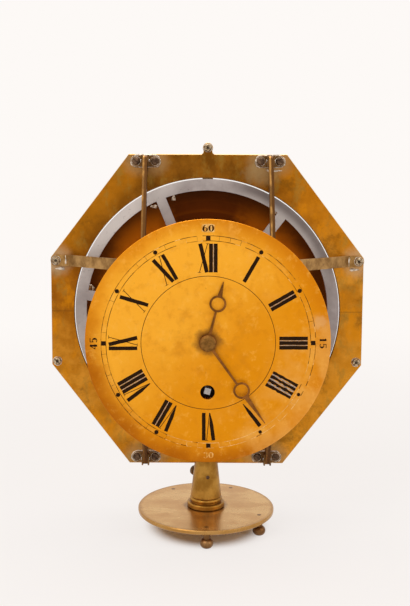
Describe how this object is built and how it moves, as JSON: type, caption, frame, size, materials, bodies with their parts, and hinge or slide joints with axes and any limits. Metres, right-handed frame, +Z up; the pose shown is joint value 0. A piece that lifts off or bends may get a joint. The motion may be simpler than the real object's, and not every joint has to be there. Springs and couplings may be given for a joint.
{
  "type": "double-sided desk clock",
  "caption": "Double-sided desk clock: an octagonal brass plate with a dial on each face and an open movement between, swivelling on a turned column and round base.",
  "frame": {"origin": "on the table, under the axis of the column, which is the middle of the clock's box in plan", "axes": "+X to the right of a person reading the front dial, +Y from the front dial to the rear dial, +Z up"},
  "size_m": [0.3, 0.138, 0.3739],
  "materials": {
    "dial_brass": "lacquered",
    "plate_brass": "aged",
    "rear_brass": "aged",
    "ring_steel": "satin",
    "base_brass": "satin",
    "column_brass": "polished",
    "arm_brass": "aged",
    "movement_brass": "grained",
    "arbor_steel": "polished",
    "screw_steel": "darkened",
    "spring_steel": "blued",
    "hand_bronze": "satin"
  },
  "bodies": {
    "base": {"base_disc": "base_brass", "ball_feet": "base_brass", "column": "column_brass", "column_bolt": "screw_steel", "keeper_screw": "screw_steel"},
    "clamp": {"clamp_pad": "column_brass"},
    "thumb": {"thumbscrew": "column_brass"},
    "head": {"swivel_post": "column_brass", "saddle_screws": "screw_steel", "octagon_plate": "plate_brass", "spider_ring": "ring_steel", "ring_straps": "arm_brass", "arm_brackets": "arm_brass", "bracket_screws": "screw_steel", "edge_arms": "arm_brass", "arm_pins": "arbor_steel", "side_arms": "arm_brass", "corner_screws": "screw_steel", "corner_nuts": "arm_brass", "front_dial": "dial_brass", "rear_dial": "rear_brass", "rear_dial_posts": "arm_brass", "back_plate": "movement_brass", "front_plate": "movement_brass", "movement_pillars": "movement_brass", "bridge_pillars": "movement_brass", "rear_bridge": "movement_brass", "motion_studs": "arbor_steel", "frame_screws": "screw_steel", "hairspring": "spring_steel", "hairspring_stud": "movement_brass"},
    "click": {"click": "arbor_steel"},
    "barrel": {"barrel": "movement_brass", "barrel_cover": "movement_brass", "mainspring": "spring_steel"},
    "winding": {"winding_arbor": "arbor_steel", "ratchet_wheel": "arbor_steel"},
    "intermediate": {"intermediate_wheel": "movement_brass"},
    "front_minute": {"centre_arbor": "arbor_steel", "centre_wheel": "movement_brass", "front_cannon": "arbor_steel", "front_minute_hand": "hand_bronze", "front_hand_nut": "hand_bronze", "reversing_driver": "movement_brass"},
    "front_hour": {"front_hour_wheel": "movement_brass", "front_hour_hand": "hand_bronze"},
    "front_motion": {"front_minute_wheel": "movement_brass"},
    "rear_minute": {"rear_arbor": "arbor_steel", "reversing_follower": "movement_brass", "rear_cannon": "arbor_steel", "rear_minute_hand": "hand_bronze", "rear_hand_nut": "hand_bronze"},
    "rear_hour": {"rear_hour_wheel": "movement_brass", "rear_hour_hand": "hand_bronze"},
    "rear_motion": {"rear_minute_wheel": "movement_brass"},
    "third": {"third_wheel": "movement_brass"},
    "escape": {"escape_wheel": "movement_brass"},
    "lever": {"pallet_lever": "arbor_steel"},
    "balance": {"balance_wheel": "movement_brass"}
  },
  "joints": [
    {"name": "head_swivel", "type": "hinge", "parent": "base", "child": "head", "pos_m": [0, 0, 0.062], "axis": [0, 0, 1], "continuous": true},
    {"name": "clamp_travel", "type": "slide", "parent": "base", "child": "clamp", "axis": [-0.5519, 0.8339, 0], "range_m": [0, 0.0012]},
    {"name": "thumb_turn", "type": "hinge", "parent": "clamp", "child": "thumb", "pos_m": [0, 0, 0.0494], "axis": [-0.5519, 0.8339, 0], "continuous": true},
    {"name": "front_minute_spin", "type": "hinge", "parent": "head", "child": "front_minute", "pos_m": [0, 0, 0.1925], "axis": [0, 1, 0], "continuous": true},
    {"name": "front_hour_spin", "type": "hinge", "parent": "head", "child": "front_hour", "pos_m": [0, 0, 0.1925], "axis": [0, 1, 0], "continuous": true},
    {"name": "front_motion_spin", "type": "hinge", "parent": "head", "child": "front_motion", "pos_m": [0.01579, 0, 0.19825], "axis": [0, 1, 0], "continuous": true},
    {"name": "rear_minute_spin", "type": "hinge", "parent": "head", "child": "rear_minute", "pos_m": [0, 0, 0.213], "axis": [0, 1, 0], "continuous": true},
    {"name": "rear_hour_spin", "type": "hinge", "parent": "head", "child": "rear_hour", "pos_m": [0, 0, 0.213], "axis": [0, 1, 0], "continuous": true},
    {"name": "rear_motion_spin", "type": "hinge", "parent": "head", "child": "rear_motion", "pos_m": [-0.01455, 0, 0.2214], "axis": [0, 1, 0], "continuous": true},
    {"name": "intermediate_spin", "type": "hinge", "parent": "head", "child": "intermediate", "pos_m": [0.0167, 0, 0.1788], "axis": [0, 1, 0], "continuous": true},
    {"name": "barrel_spin", "type": "hinge", "parent": "head", "child": "barrel", "pos_m": [0, 0, 0.1469], "axis": [0, 1, 0], "continuous": true},
    {"name": "third_spin", "type": "hinge", "parent": "head", "child": "third", "pos_m": [-0.01438, 0, 0.20333], "axis": [0, 1, 0], "continuous": true},
    {"name": "escape_spin", "type": "hinge", "parent": "head", "child": "escape", "pos_m": [-0.00197, 0, 0.21375], "axis": [0, 1, 0], "continuous": true},
    {"name": "winding_spin", "type": "hinge", "parent": "head", "child": "winding", "pos_m": [0, 0, 0.1469], "axis": [0, 1, 0], "continuous": true},
    {"name": "click_lift", "type": "hinge", "parent": "head", "child": "click", "pos_m": [0.0155, 0, 0.1559], "axis": [0, 1, 0], "range_deg": [0, 12]},
    {"name": "lever_rock", "type": "hinge", "parent": "head", "child": "lever", "pos_m": [0.00882, 0, 0.22187], "axis": [0, 1, 0], "range_deg": [-3, 3]},
    {"name": "balance_swing", "type": "hinge", "parent": "head", "child": "balance", "pos_m": [0.0232, 0, 0.21486], "axis": [0, 1, 0], "range_deg": [-150, 150], "stiffness_Nm_per_rad": 0.0000066}
  ],
  "couplings": [
    {"joint": "front_hour_spin", "follows": "front_minute_spin", "ratio": 0.083333},
    {"joint": "front_motion_spin", "follows": "front_minute_spin", "ratio": -0.33333},
    {"joint": "rear_minute_spin", "follows": "front_minute_spin", "ratio": -1},
    {"joint": "rear_hour_spin", "follows": "front_minute_spin", "ratio": -0.083333},
    {"joint": "rear_motion_spin", "follows": "front_minute_spin", "ratio": 0.33333},
    {"joint": "intermediate_spin", "follows": "front_minute_spin", "ratio": -0.2},
    {"joint": "barrel_spin", "follows": "front_minute_spin", "ratio": 0.04},
    {"joint": "third_spin", "follows": "front_minute_spin", "ratio": -5},
    {"joint": "escape_spin", "follows": "front_minute_spin", "ratio": 25},
    {"joint": "thumb_turn", "follows": "clamp_travel", "rad_per_m": 7854}
  ]
}
